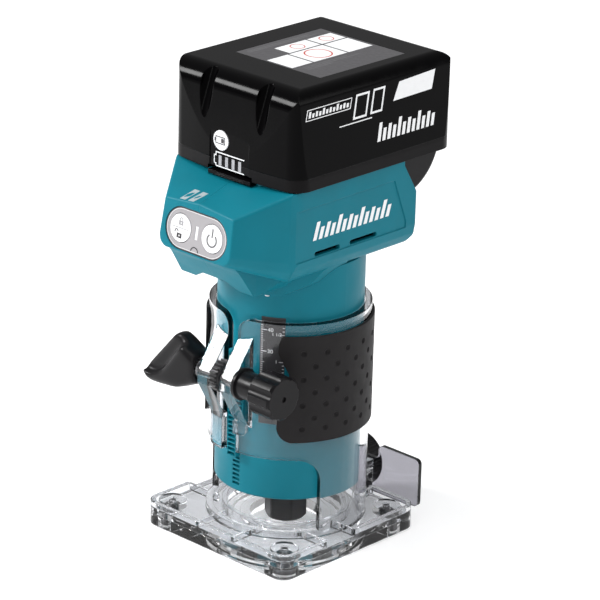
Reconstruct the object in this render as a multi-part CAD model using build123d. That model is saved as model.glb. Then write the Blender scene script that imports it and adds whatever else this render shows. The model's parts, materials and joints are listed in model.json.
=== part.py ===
"""Cordless trim router: clear base with clamp and depth adjuster, motor unit, slide-on battery.

Frame: origin on the spindle axis in the plane of the base's underside, +Z up along the spindle,
-Y towards the switch panel, +X towards the depth adjusting knob.  Millimetres.
"""
from build123d import *
import os
from math import cos, degrees, pi, radians, sin

os.makedirs("parts", exist_ok=True)

# ---- base ---------------------------------------------------------------------------------------
BASE_W = 87.6
BASE_FRONT, BASE_REAR = -46.4, 40.3
BASE_CORNER_R = 7.0
SUB_T = 6.0                       # clear sub-base, screwed under the frame
PLATE_GAP = 0.08                  # film of air between the two plates
FLOOR_T = 2.3                     # floor of the frame's open tray
PLATE_TOP = 11.4
RIM_T = 2.4
CORNER_SCREWS = [(-35.0, -37.0), (35.0, -37.0), (-35.0, 29.0), (35.0, 29.0)]
BOSS_R = 6.3
SCREW_R = 1.7
BIT_HOLE_R = 16.0
THROAT_R = 26.5                   # opening in the tray floor
TUBE_OUT, TUBE_IN = 36.0, 32.85
TUBE_TOP = 109.5
SLOT_HALF = 2.9                   # clamping slot down the front of the tube
ARCH_HALF_DEG, ARCH_TOP, ARCH_R = 68.0, 46.0, 11.0
SIDE_NOTCH = (-19.0, -1.0)        # gap in the rim on both sides
EAR_OUT = 11.0
GRIP_OUT = 37.2
GRIP_Z = (55.0, 104.5)
REAR_Z = 17.0                     # height of the rear clamp stud
GUARD_Y = (BASE_REAR + 0.1, BASE_REAR + 2.1)

# ---- cross axis with pinion, adjusting knob and lock lever ---------------------------------------
AXIS_Y, AXIS_Z = -42.0, 83.4
TOOTH_PITCH = 2.1
PINION_TEETH = 20
PINION_PITCH_R = PINION_TEETH * TOOTH_PITCH / (2 * pi)
PINION_TIP_R = PINION_PITCH_R + 0.45
PINION_ROOT_R = PINION_PITCH_R - 0.75
PINION_HALF = 1.9
SHAFT_R = 2.5
RUN_GAP = 0.05                    # radial clearance of a running fit
KNOB_X = (12.0, 24.0, 37.2)       # neck start, fluted start, end face
HUB_X = -EAR_OUT - 0.4            # inner face of the lock lever's hub

# ---- motor unit -----------------------------------------------------------------------------------
BODY_R, BODY_WALL = 32.5, 2.4
BODY_Z = (25.3, 133.8)
RACK_HALF = 2.6
RACK_Z = (43.5, 93.5)
SCALE_Z = (62.0, 111.5)
SCALE_DEG = (21, 40)
RACK_PITCH_Y = AXIS_Y + PINION_PITCH_R
RACK_TIP_Y = RACK_PITCH_Y - 0.45
STACK_Z = (54.0, 92.0)            # stator and rotor laminations
LEAD_ANGLES = (-20, 0, 20)        # degrees from the rear
LEAD_R = 28.0
SPINDLE_R = 4.0
NOSE_R = 6.0
COLLET_BORE_R = 3.175
NUT_Z = (4.4, 24.9)
NUT_AF = 17.0

# ---- head -------------------------------------------------------------------------------------------
HEAD_HALF = 36.0
HEAD_FRONT, HEAD_REAR = -37.0, 39.8
HEAD_BOTTOM, HEAD_TOP = 134.0, 174.6
HEAD_WALL = 2.4
NOSE_SHY = 0.05                   # the nose ends this much inside the head's sides
HEAD_SCREWS = [(-31.0, 141.5), (-31.0, 163.5), (34.0, 142.5), (27.0, 166.0)]      # y, z
LIGHT_ANGLES = (-26, 26)          # work lights in the collar
LIGHT_R = 34.0
PANEL_LOW = (-61.3, 143.2)        # y, z of the panel face's lower edge
PANEL_LEAN = 9.24                 # degrees from vertical, top backwards
PANEL_MID_Z = 153.4
PANEL_W, PANEL_H = 36.6, 18.4
PANEL_SEAT = 1.8                  # depth of the panel's seat in the head
BUTTON_X, BUTTON_R = 9.45, 6.1

# ---- battery ----------------------------------------------------------------------------------------
BATT_HALF = 38.0
BATT_FRONT, BATT_BOW, BATT_REAR = -37.0, 3.3, 61.5
BATT_BOTTOM, BATT_SEAM, BATT_TOP = 175.0, 180.5, 218.3
BATT_WALL = 2.2
CELL_R, CELL_HALF_LEN = 8.75, 32.3
CELL_Y = [49.5 - 18.0 * i for i in range(5)]
CELL_Z = (189.6, 207.1)
RAIL_NECK, RAIL_HEAD = 18.0, 24.0
CHECK_X, CHECK_Z, CHECK_R = -5.8, 189.0, 4.4
GAUGE_X = [-6.3, -2.4, 1.5, 5.4]
GAUGE_Z = (177.6, 182.2)
LATCH_HALF = 12.6


# ---- helpers ----------------------------------------------------------------------------------------
def block(x0, x1, y0, y1, z0, z1):
    return Pos((x0 + x1) / 2, (y0 + y1) / 2, (z0 + z1) / 2) * Box(x1 - x0, y1 - y0, z1 - z0)


def rod_z(r, z0, z1, x=0.0, y=0.0):
    return Pos(x, y, (z0 + z1) / 2) * Cylinder(r, z1 - z0)


def rod_x(r, x0, x1, y, z):
    return Pos((x0 + x1) / 2, y, z) * Rot(0, 90, 0) * Cylinder(r, x1 - x0)


def rod_y(r, y0, y1, x, z):
    return Pos(x, (y0 + y1) / 2, z) * Rot(90, 0, 0) * Cylinder(r, y1 - y0)


def ring_z(r_out, r_in, z0, z1):
    return rod_z(r_out, z0, z1) - rod_z(r_in, z0 - 1, z1 + 1)


def outline(points, radius=0.0):
    """Closed outline; radius is one value for every corner, or a list with one for each."""
    if radius:
        return make_face(FilletPolyline(*points, radius=radius, close=True))
    return make_face(Polyline(*points, close=True))


def along_x(face, x0, x1):
    """Extrudes an outline given as (y, z) from x0 to x1."""
    return extrude(Plane.YZ.offset(x0) * face, amount=x1 - x0, dir=(1, 0, 0))


def along_y(face, y0, y1):
    """Extrudes an outline given as (x, z) from y0 to y1."""
    return extrude(Plane.XZ.offset(-y1) * face, amount=y1 - y0, dir=(0, -1, 0))


def along_z(face, z0, z1):
    return extrude(Pos(0, 0, z0) * face, amount=z1 - z0, dir=(0, 0, 1))


def radial_plane(angle):
    """Plane through the spindle axis; its normal points outwards at this angle from the front."""
    a = radians(angle)
    return Plane(origin=(0, 0, 0), x_dir=(cos(a), sin(a), 0), z_dir=(sin(a), -cos(a), 0))


def along_radius(angle, face, reach=60.0):
    """Extrudes an outline given as (sideways, z) outwards from the axis at this angle."""
    plane = radial_plane(angle)
    return extrude(plane * face, amount=reach, dir=plane.z_dir)


def sector(a0, a1, z0, z1, reach=70.0, steps=6):
    """Wedge about the spindle axis between two angles measured from the front."""
    rim = [a0 + (a1 - a0) * i / steps for i in range(steps + 1)]
    points = [(0, 0)] + [(reach * sin(radians(a)), -reach * cos(radians(a))) for a in rim]
    return along_z(outline(points), z0, z1)


def mirrored(shape):
    return mirror(shape, about=Plane.YZ)


def both_sides(shape):
    return shape + mirrored(shape)


def save(name, shape):
    shape = shape if isinstance(shape, (Solid, Compound, Part)) else Part() + shape
    export_step(shape, f"parts/{name}.step")


# ---- base pieces ------------------------------------------------------------------------------------
def base_outline(inset=0.0):
    mid = (BASE_FRONT + BASE_REAR) / 2
    width, depth = BASE_W - 2 * inset, BASE_REAR - BASE_FRONT - 2 * inset
    return Pos(0, mid) * RectangleRounded(width, depth, BASE_CORNER_R - inset)


def sub_base():
    plate = along_z(base_outline(), 0.0, SUB_T - PLATE_GAP)
    plate = chamfer(plate.faces().sort_by(Axis.Z)[0].edges(), 0.7)
    plate -= rod_z(BIT_HOLE_R, -1, SUB_T + 1)
    for x, y in CORNER_SCREWS:
        plate -= rod_z(3.9, -1, 3.4, x, y) + rod_z(2.0, 3.0, SUB_T + 1, x, y)
    # shallow ring groove that centres a template guide
    return plate - (rod_z(24.0, 4.8, SUB_T + 1) - rod_z(20.5, 4.0, SUB_T + 1))


def corner_screws():
    screws = Part()
    for x, y in CORNER_SCREWS:
        screw = rod_z(3.6, 0.7, 3.4, x, y) + rod_z(SCREW_R, 3.4, 10.8, x, y)
        cross = block(x - 2.0, x + 2.0, y - 0.45, y + 0.45, 0.0, 2.2)
        cross += block(x - 0.45, x + 0.45, y - 2.0, y + 2.0, 0.0, 2.2)
        screws += screw - cross
    return screws


def front_arch():
    """Cutter for the wide window low in the front of the tube, with rounded upper corners."""
    cutter = sector(-ARCH_HALF_DEG, ARCH_HALF_DEG, PLATE_TOP, ARCH_TOP)
    for side in (-1, 1):
        low = ARCH_TOP - ARCH_R
        square = Pos(-side * ARCH_R / 2, ARCH_TOP - ARCH_R / 2) * Rectangle(ARCH_R, ARCH_R)
        corner = square - Pos(-side * ARCH_R, low) * Circle(ARCH_R)
        cutter -= along_radius(side * ARCH_HALF_DEG, corner)
    return cutter


def slot_corners():
    """Cutter that rounds the tube's top edge down into the clamping slot."""
    r, over = 6.0, 0.5
    square = Pos(SLOT_HALF + (r - over) / 2, TUBE_TOP + (over - r) / 2) * Rectangle(r + over, r + over)
    corner = square - Pos(SLOT_HALF + r, TUBE_TOP - r) * Circle(r)
    return both_sides(along_y(corner, -40, -25))


def clamp_ears():
    face = outline([(-30, 104), (-33.6, 103.2), (-46.5, 84.4), (-46.5, 78.6), (-36.2, 60.5), (-30, 58)], 0.8)
    return both_sides(along_x(face, SLOT_HALF, EAR_OUT))


def tray_ribs():
    ribs = both_sides(block(10.2, 11.8, BASE_FRONT + 1, -26.0, SUB_T, PLATE_TOP - 0.6))
    for y in SIDE_NOTCH:
        ribs += both_sides(block(24.0, BASE_W / 2 - 1, y - 0.8, y + 0.8, SUB_T, PLATE_TOP))
    ribs += both_sides(block(17.0, 18.6, 30.0, BASE_REAR - 1, SUB_T, PLATE_TOP))
    return ribs


def clear_tube():
    """Guide tube with its clamping slot, front window and clamp ears."""
    tube = ring_z(TUBE_OUT, TUBE_IN, SUB_T, TUBE_TOP) - front_arch()
    tube -= block(-SLOT_HALF, SLOT_HALF, -45, -20, ARCH_TOP - 5, TUBE_TOP + 1)
    tube -= slot_corners()
    return tube + (clamp_ears() - rod_z(TUBE_IN + 0.4, 50, TUBE_TOP + 5))


def open_tray():
    """Square plate as a shallow tray: floor, rim, ribs and screw bosses round the throat."""
    tray = along_z(base_outline(), SUB_T, PLATE_TOP)
    tray -= along_z(base_outline(RIM_T), SUB_T + FLOOR_T, PLATE_TOP + 1)
    tray -= both_sides(block(35, 50, SIDE_NOTCH[0], SIDE_NOTCH[1], SUB_T + FLOOR_T, PLATE_TOP + 1))
    tray += tray_ribs()
    for x, y in CORNER_SCREWS:
        tray += rod_z(BOSS_R, SUB_T, PLATE_TOP, x, y)
    tray -= rod_z(THROAT_R, SUB_T - 1, PLATE_TOP + 1)
    return tray + ring_z(THROAT_R + 2.2, THROAT_R, SUB_T, PLATE_TOP + 1.2)


def base_frame():
    body = open_tray() + clear_tube()
    body += block(-16, 16, 30, BASE_REAR, SUB_T + 1, 24.0) - rod_z(TUBE_IN + 0.5, SUB_T, 30)
    body -= rod_x(SHAFT_R + RUN_GAP, -20, 20, AXIS_Y, AXIS_Z)
    body -= rod_y(SHAFT_R + RUN_GAP, 20, 60, 0, REAR_Z)
    for x, y in CORNER_SCREWS:
        body -= rod_z(SCREW_R, SUB_T - 1, PLATE_TOP + 1, x, y)
    return body


def grip():
    """Rubber grip moulded round the right of the tube, with rows of round dimples."""
    z0, z1 = GRIP_Z
    body = ring_z(GRIP_OUT, TUBE_OUT, z0, z1) & sector(30, 160, z0 - 1, z1 + 1)
    low, high = z0 - 0.1, z1 + 0.1
    front = [(-30, low - 5), (14, low - 5), (14, low), (-3.0, low), (-1.6, z0 + 19), (3.2, z0 + 31),
             (-2.4, z0 + 42), (-1.6, high), (10, high), (10, high + 5), (-30, high + 5)]
    rear = [(30, low - 5), (-10, low - 5), (-10, low), (1, low), (1, high), (-10, high), (-10, high + 5),
            (30, high + 5)]
    body -= along_radius(39.5, outline(front, [1, 1, 1, 7.5, 9, 5, 4, 4, 1, 1, 1]))
    body -= along_radius(152, outline(rear, [1, 1, 1, 6, 6, 1, 1, 1]))
    for column in range(12):
        angle = 53.0 + 8.3 * column
        rows = (96.8, 84.7, 72.6, 61.5) if column % 2 == 0 else (90.7, 78.6, 66.6)
        for z in rows:
            spot = radial_plane(angle).from_local_coords((0, z, GRIP_OUT + 0.75))
            body -= Pos(*spot) * Sphere(1.6)
    return body


def chip_guard():
    """Clear upright guard with two wings, slotted over the rear clamp stud."""
    half, low, high = 43.5, 9.0, 32.0
    points = [(-half, low), (half, low), (half, high), (19, high), (19, 25), (-19, 25), (-19, high), (-half, high)]
    plate = along_y(outline(points, 2.4), *GUARD_Y)
    slot = block(-3.2, 3.2, 30, 60, low - 1, REAR_Z) + rod_y(3.2, 30, 60, 0, REAR_Z)
    return plate - slot


def rear_knob():
    y0 = GUARD_Y[1] + 0.3
    knob = rod_y(12.7, y0, y0 + 8.6, 0, REAR_Z) + rod_y(7.5, y0, y0 + 10.4, 0, REAR_Z)
    knob = fillet(knob.edges().filter_by(GeomType.CIRCLE).group_by(Axis.Y)[-1], 0.8)
    for i in range(40):
        a = 2 * pi * i / 40
        knob -= rod_y(0.55, y0 + 0.8, y0 + 7.8, 12.9 * cos(a), REAR_Z + 12.9 * sin(a))
    return knob - rod_y(SHAFT_R, y0 - 1, y0 + 7.0, 0, REAR_Z)


def rear_stud():
    return rod_y(SHAFT_R, TUBE_IN + 0.6, GUARD_Y[1] + 7.3, 0, REAR_Z)


# ---- cross axis pieces ------------------------------------------------------------------------------
def pinion_shaft():
    """Toothed roller between the clamp ears on one shaft; a tooth gap faces the rack."""
    flank = degrees(0.56 / PINION_PITCH_R)
    points = []
    for i in range(PINION_TEETH):
        centre = 360 * (i + 0.5) / PINION_TEETH
        for offset, r in ((-flank * 1.15, PINION_ROOT_R), (-flank * 0.45, PINION_TIP_R),
                          (flank * 0.45, PINION_TIP_R), (flank * 1.15, PINION_ROOT_R)):
            a = radians(centre + offset)
            points.append((AXIS_Y + r * cos(a), AXIS_Z + r * sin(a)))
    teeth = along_x(outline(points), -PINION_HALF, PINION_HALF)
    collars = rod_x(5.4, -2.5, 2.5, AXIS_Y, AXIS_Z)
    return teeth + collars + rod_x(SHAFT_R, -20.5, 20.0, AXIS_Y, AXIS_Z)


def adjusting_knob():
    neck, flute, end = KNOB_X
    knob = rod_x(6.2, neck, flute + 1, AXIS_Y, AXIS_Z)
    head = rod_x(10.0, flute, end, AXIS_Y, AXIS_Z)
    head = chamfer(head.edges().filter_by(GeomType.CIRCLE), 1.0)
    for i in range(8):
        a = 2 * pi * (i + 0.5) / 8
        head -= rod_x(3.3, flute - 1, end + 1, AXIS_Y + 12.0 * cos(a), AXIS_Z + 12.0 * sin(a))
    knob += head
    knob += rod_x(7.2, neck, neck + 1.6, AXIS_Y, AXIS_Z)
    knob -= rod_x(1.3, end - 0.8, end + 1, AXIS_Y, AXIS_Z)
    return knob - rod_x(SHAFT_R, neck - 1, 20.0, AXIS_Y, AXIS_Z)


def lock_lever():
    """Wing lever with a hub on the shaft's left end and a dished thumb face."""
    points = [(HUB_X, 75.6), (HUB_X, 91.0), (-19.5, 96.6), (-27.5, 96.2), (-45.6, 75.6), (-42.4, 68.8),
              (-24.0, 71.4)]
    wing = along_y(outline(points, [0.4, 0.4, 3.5, 6.0, 2.0, 4.0, 6.0]), -50, -34)
    # turning room beside the tube: narrow at the hub, wider outwards
    reach = [(HUB_X, 0), (HUB_X, 7.4), (-15, 8.6), (-19, 10.6), (-23, 12.4), (-28, 16.5), (-60, 16.5), (-60, 0)]
    wing = wing & (Pos(0, AXIS_Y, AXIS_Z) * revolve(outline(reach), Axis.X))
    section = outline([(-48.6, 69.0), (-35.6, 69.0), (-35.6, 97.5), (-48.6, 97.5)], 5.5)
    wing = wing & along_x(section, -60, 0)
    rim = Spline((-48.0, 76.0), (-36.0, 75.6), (-27.0, 84.6), (-13.0, 97.0))
    dish = make_face(rim + Polyline((-13.0, 97.0), (-13.0, 104), (-50, 104), (-50, 76.0), (-48.0, 76.0)))
    wing -= along_y(dish, -60, -44.4)
    wing -= rod_x(4.9, -18.0, 0, AXIS_Y, AXIS_Z) & block(-15.6, 0, -60, 0, 60, 120)
    return wing - rod_x(SHAFT_R + 0.3, -21.0, 0, AXIS_Y, AXIS_Z)


def lever_nut():
    nut = rod_x(4.9, -15.6, HUB_X, AXIS_Y, AXIS_Z)
    return nut - rod_x(SHAFT_R + RUN_GAP, -20, 0, AXIS_Y, AXIS_Z)


# ---- motor unit pieces ------------------------------------------------------------------------------
def motor_housing():
    z0, z1 = BODY_Z
    body = rod_z(BODY_R, z0, z1)
    body = fillet(body.edges().filter_by(GeomType.CIRCLE).sort_by(Axis.Z)[0], 1.6)
    body -= rod_z(BODY_R - BODY_WALL, z0 + 3.7, z1 + 1)
    body += ring_z(14.0, 11.0, z0 + 3.0, 39.0)                            # lower bearing seat
    body -= rod_z(9.0, z0 - 1, z0 + 5)
    body -= block(-RACK_HALF, RACK_HALF, -40, -31.2, *RACK_Z)
    z = RACK_Z[0] - TOOTH_PITCH * 0.75
    while z > z0 + 2.0:
        body -= block(-2.1, 2.1, -40, -31.0, z - 0.62, z + 0.62)
        z -= TOOTH_PITCH
    return body - depth_scale()


def depth_rack():
    """Toothed strip on the front of the motor body; the slots face the pinion."""
    bar = block(-RACK_HALF, RACK_HALF, RACK_TIP_Y, -31.2, *RACK_Z)
    first = int((RACK_Z[0] - AXIS_Z) / TOOTH_PITCH) - 1
    last = int((RACK_Z[1] - AXIS_Z) / TOOTH_PITCH) + 1
    for i in range(first, last):
        z = AXIS_Z + TOOTH_PITCH * (i + 0.5)
        if z - 1.0 < RACK_Z[0] or z + 1.0 > RACK_Z[1]:
            continue
        points = [(-40, z - 0.9), (RACK_TIP_Y, z - 0.78), (-33.9, z - 0.6), (-32.2, z - 0.6),
                  (-32.2, z + 0.6), (-33.9, z + 0.6), (RACK_TIP_Y, z + 0.78), (-40, z + 0.9)]
        bar -= along_x(outline(points), -PINION_HALF - 0.3, PINION_HALF + 0.3)
    return bar


def depth_scale():
    """Printed scale strip, let into the motor body to the right of the rack."""
    return ring_z(BODY_R, BODY_R - 0.3, *SCALE_Z) & sector(*SCALE_DEG, SCALE_Z[0] - 1, SCALE_Z[1] + 1)


def stator_core():
    core = ring_z(BODY_R - BODY_WALL - 0.05, 23.0, *STACK_Z)
    for i in range(6):
        tooth = block(-3.6, 3.6, 18.6, 24.0, *STACK_Z) + block(-6.4, 6.4, 17.2, 18.9, *STACK_Z)
        core += Rot(0, 0, 60 * i) * tooth
    return core - rod_z(17.1, 0, 120)


def stator_windings():
    low, high = STACK_Z
    coils = Part()
    for i in range(6):
        coil = block(-6.1, 6.1, 19.2, 22.0, low - 3.6, high + 3.6)
        coil = fillet(coil.edges().filter_by(Axis.Y), 2.0)
        coils += Rot(0, 0, 60 * i) * (coil - block(-3.7, 3.7, 18, 24, low - 0.2, high + 0.2))
    return coils


def bearing(z0, z1, r_out):
    """Sealed ball bearing as a ring with shallow grooves at the seals."""
    body = ring_z(r_out, SPINDLE_R + RUN_GAP, z0, z1)
    for z in (z0 - 1 + 0.3, z1 - 0.3):
        body -= rod_z(r_out - 1.4, z, z + 1) - rod_z(SPINDLE_R + 1.6, z - 1, z + 2)
    return body


def bearing_plate():
    """Disc across the top of the motor that holds the upper bearing."""
    plate = ring_z(BODY_R - BODY_WALL - 0.05, 9.5, 112.0, 115.0) + ring_z(13.0, 9.5, 112.0, 119.0)
    plate += ring_z(9.6, 6.0, 118.0, 119.0)
    for i in range(6):
        plate -= Rot(0, 0, 60 * i + 30) * rod_z(4.2, 100, 130, 0, 20.5)
    for angle in LEAD_ANGLES:
        a = radians(angle)
        plate -= rod_z(1.5, 100, 130, LEAD_R * sin(a), LEAD_R * cos(a))
    return plate


def motor_leads():
    leads = Part()
    for angle in LEAD_ANGLES:
        a = radians(angle)
        leads += rod_z(1.1, 96.0, 150.0, LEAD_R * sin(a), LEAD_R * cos(a))
    return leads


def spindle_shaft():
    shaft = rod_z(NOSE_R, 9.0, 29.3) + rod_z(SPINDLE_R, 29.3, 117.6)
    shaft += rod_z(5.6, 29.3, 30.8)
    return shaft - rod_z(5.0, 8.0, 25.6)


def rotor_core():
    core = ring_z(14.6, SPINDLE_R, *STACK_Z)
    for i in range(8):
        core -= Rot(0, 0, 45 * i) * rod_z(1.6, 40, 110, 0, 9.4)
    return core


def rotor_magnets():
    sleeve = ring_z(16.4, 14.6, STACK_Z[0] + 0.5, STACK_Z[1] - 0.5)
    for i in range(8):
        sleeve -= Rot(0, 0, 45 * i) * block(-0.4, 0.4, 14.0, 17.0, 40, 110)
    return sleeve


def cooling_fan():
    fan = ring_z(25.0, SPINDLE_R, 97.6, 99.0) + ring_z(8.0, SPINDLE_R, 97.6, 107.0)
    for i in range(13):
        fan += Rot(0, 0, 360 / 13 * i) * (Rot(0, 0, 18) * block(7.0, 24.0, -0.6, 0.6, 98.5, 106.6))
    return fan


def collet():
    """Split collet for a 6.35 mm shank, seated in the spindle nose."""
    body = rod_z(5.0, 7.4, 25.2) + rod_z(4.0, 5.2, 7.4)
    body -= rod_z(COLLET_BORE_R, 0, 40)
    for i in range(4):
        body -= Rot(0, 0, 90 * i + 45) * block(COLLET_BORE_R - 0.6, 7.0, -0.3, 0.3, 0, 20.0)
    return body


def collet_nut():
    z0, z1 = NUT_Z
    nut = along_z(RegularPolygon(NUT_AF / 2, 6, major_radius=False, rotation=30), z0, z1)
    nut = nut & (Pos(0, 0, (z0 + z1) / 2) * chamfer(Cylinder(9.6, z1 - z0).edges().filter_by(GeomType.CIRCLE), 1.0))
    nut -= rod_z(NOSE_R + RUN_GAP, 7.0, z1 + 1)
    return nut - rod_z(4.4, z0 - 1, 8)


# ---- head pieces ------------------------------------------------------------------------------------
def panel_y(z):
    """Depth of the leaning panel face at this height."""
    return PANEL_LOW[0] + (z - PANEL_LOW[1]) * sin(radians(PANEL_LEAN)) / cos(radians(PANEL_LEAN))


def panel_plane(out=0.0):
    """Plane of the panel face, its normal pointing out of the head."""
    a = radians(PANEL_LEAN)
    plane = Plane(origin=(0, panel_y(PANEL_MID_Z), PANEL_MID_Z), x_dir=(1, 0, 0), z_dir=(0, -cos(a), sin(a)))
    return plane.offset(out)


def head_nose(inset):
    """Nose that widens from the panel to the head, with a crease along its top."""
    i = inset
    front = [(0, 166.0 - i), (20.5 - i, 164.2 - i), (21.3 - i, 148.0 + i), (20.3 - i, 145.2 + i),
             (17.6 - i, 143.4 + i), (0, 143.2 + i)]
    j = inset + NOSE_SHY
    back = [(0, 172.9 - j), (HEAD_HALF - j, 175.0 - j), (HEAD_HALF - j, 143.5 + j), (35.2 - j, 139.0 + j),
            (32.6 - j, HEAD_BOTTOM + j), (0, HEAD_BOTTOM + j)]

    def closed(points):
        return points + [(-x, z) for x, z in reversed(points) if x > 0]

    y_back = HEAD_FRONT + 0.5
    near = Face(Wire.make_polygon([Vector(x, panel_y(z) + 1.2 * i, z) for x, z in closed(front)]))
    far = Face(Wire.make_polygon([Vector(x, y_back, z) for x, z in closed(back)]))
    nose = loft([near, far], ruled=True)
    return nose if inset else soften_nose(nose)


def soften_nose(nose):
    """Rounds the nose's long edges, then the rim of its front face."""
    def starts_at_face(edge):
        return min((edge @ 0).Y, (edge @ 1).Y) < HEAD_FRONT - 18

    long_edges = [e for e in nose.edges() if starts_at_face(e) and max((e @ 0).Y, (e @ 1).Y) > HEAD_FRONT - 1]
    sides = [e for e in long_edges if abs((e @ 0).X) > 15]
    ridges = [e for e in sides if min((e @ 0).Z, (e @ 1).Z) > 160]
    nose = fillet([e for e in sides if e not in ridges], 4.0)
    ridges = [e for e in nose.edges() if starts_at_face(e) and max((e @ 0).Y, (e @ 1).Y) > HEAD_FRONT - 1
              and min((e @ 0).Z, (e @ 1).Z) > 160 and abs((e @ 0).X) > 15]
    nose = fillet(ridges, 1.6)
    return fillet([e for e in nose.edges() if max((e @ 0).Y, (e @ 1).Y) < HEAD_FRONT - 17], 1.2)


def head_block(inset):
    i = inset
    side = [(HEAD_FRONT, HEAD_BOTTOM + i), (36.2 - i, HEAD_BOTTOM + i), (HEAD_REAR - i, 137.6 + i),
            (HEAD_REAR - i, 158.6), (31.6 - i, 172.0), (31.6 - i, HEAD_TOP - i), (HEAD_FRONT, HEAD_TOP - i)]
    half = [(HEAD_HALF - i, HEAD_TOP - i), (HEAD_HALF - i, 143.5 + i), (35.2 - i, 139.0 + i), (32.6 - i, HEAD_BOTTOM + i)]
    cross = outline(half + [(-x, z) for x, z in reversed(half)], [0.1, 4, 4, 4, 4, 4, 4, 0.1])
    return along_x(outline(side), -50, 50) & along_y(cross, -60, 60)


def head_bib():
    """Collar in front of the motor body that carries the two work lights."""
    half = [(6.5, 125.6), (9.0, 122.6), (21, 122.6), (29.5, 128.0), (34.5, 138.0)]
    face = outline(half + [(-x, z) for x, z in reversed(half)], [1, 1, 2, 2, 2, 2, 2, 2, 1, 1])
    return ring_z(35.4, BODY_R + 0.05, 120, 137) & along_y(face, -50, 0)


def head_chin():
    """Chin under the nose: a pod on each side and a dip between them."""
    half = [(7.0, 131.0), (14.5, 126.6), (22.5, 127.2), (26.5, 133.0), (29.5, 142.0)]
    front = outline(half + [(-x, z) for x, z in reversed(half)], [2, 3, 3, 2, 0.5, 0.5, 2, 3, 3, 2])
    side = outline([(-56.4, 142.0), (-53.6, 138.6), (-46.2, 127.4), (-40, 124), (-24, 124), (-24, 142)], 0.6)
    plan = outline([(-20.0, -60), (20.0, -60), (22.0, -45), (31.0, -20), (-31.0, -20), (-22.0, -45)], 1.0)
    chin = along_y(front, -60, -20) & along_x(side, -40, 40) & along_z(plan, 120, 145)
    return chin - rod_z(BODY_R + 0.05, 110, 150)


def head_shell():
    """Both halves of the head in one, before they are parted down the middle."""
    body = head_block(0) + head_nose(0)
    # soft turn from the nose's sides into the head's
    half = [(HEAD_HALF, 80), (HEAD_HALF, HEAD_FRONT), (20.4, -62.0)]
    plan = outline(half + [(-x, y) for x, y in reversed(half)], [1, 20, 1, 1, 20, 1])
    body = (body & along_z(plan, 120, 190)) + head_bib() + head_chin()
    body -= block(-60, 60, -70, 60, HEAD_TOP, 190)
    recess = outline([(-70, 136), (-70, 166.0), (25.5, 166.6), (33.6, 146.4), (33.6, 136)], 0)
    body -= both_sides(along_x(recess, HEAD_HALF - 0.45, 60) & block(0, 60, -60, 60, 143.0, 180))
    cavity = head_block(HEAD_WALL) + head_nose(HEAD_WALL)
    cavity -= block(-60, 60, -70, -28, 168.8, 190)
    body -= cavity
    body -= rod_z(BODY_R - BODY_WALL, 120, HEAD_BOTTOM + 4)
    # channel over the nose for the battery's release button
    body -= block(-LATCH_HALF - 0.6, LATCH_HALF + 0.6, -41.4, -20.0, 172.3, 190)
    for y0, y1 in ((-23.7, -8.0), (-1.8, 15.3)):
        slit = Pos((y0 + y1) / 2, 144.6) * SlotOverall(y1 - y0, 2.1)
        body -= along_x(slit, -60, 60)
    body -= extrude(panel_plane(-PANEL_SEAT) * SlotOverall(PANEL_W + 0.3, PANEL_H + 0.3), amount=20)
    body -= extrude(panel_plane(-12.0) * SlotOverall(PANEL_W - 4.0, PANEL_H - 4.0), amount=20)
    for angle in LIGHT_ANGLES:
        spot = radial_plane(angle).from_local_coords((0, 0, LIGHT_R))
        body -= rod_z(1.1, 115, 126.5, spot.X, spot.Y)
    return body


def head_half(side):
    """One clamshell half: side is -1 for the left, +1 for the right."""
    half = HEAD_SHELL & block(0, 60, -80, 80, 100, 200)
    if side < 0:
        half = mirrored(half)
    for y, z in HEAD_SCREWS:
        post = rod_x(3.2, 0, HEAD_HALF - 1.2, y, z)
        half += post if side > 0 else mirrored(post)
    for y, z in HEAD_SCREWS:
        if side > 0:
            half -= rod_x(1.4, -1, 12, y, z)
        else:
            half -= rod_x(1.7, -50, 1, y, z) + rod_x(3.0, -50, -31.5, y, z)
    return half


def head_screws():
    screws = Part()
    for y, z in HEAD_SCREWS:
        screw = rod_x(2.8, -33.6, -31.5, y, z) + rod_x(1.4, -31.5, 11.5, y, z)
        screws += screw - block(-40, -32.6, y - 1.6, y + 1.6, z - 0.35, z + 0.35)
    return screws


def switch_panel():
    panel = extrude(panel_plane(-PANEL_SEAT) * SlotOverall(PANEL_W, PANEL_H), amount=1.4)
    for x in (-BUTTON_X, BUTTON_X):
        panel -= extrude(panel_plane(-5.0) * (Pos(x, 0) * Circle(BUTTON_R + 0.3)), amount=10)
    panel -= extrude(panel_plane(-5.0) * Rectangle(1.6, 6.0), amount=10)
    notch = Circle(2.3) - Circle(1.9)
    return panel - extrude(panel_plane(-1.0) * (Pos(0, -PANEL_H / 2 + 0.8) * notch), amount=3)


def panel_button(x):
    """Round push button in the switch panel with a stem to its switch."""
    button = extrude(panel_plane(-1.6) * (Pos(x, 0) * Circle(BUTTON_R)), amount=1.4)
    button += extrude(panel_plane(-3.9) * (Pos(x, 0) * Circle(2.0)), amount=2.4)
    return button


def mode_light():
    return extrude(panel_plane(-3.0) * Rectangle(1.6, 6.0), amount=2.5)


def job_lights():
    lights = Part()
    for angle in LIGHT_ANGLES:
        spot = radial_plane(angle).from_local_coords((0, 0, LIGHT_R))
        lights += rod_z(1.1, 121.9, 126.5, spot.X, spot.Y)
    return lights


def switch_board():
    """Circuit board behind the switch panel."""
    return extrude(panel_plane(-7.6) * RectangleRounded(30.0, 13.0, 2.0), amount=1.4)


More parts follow.
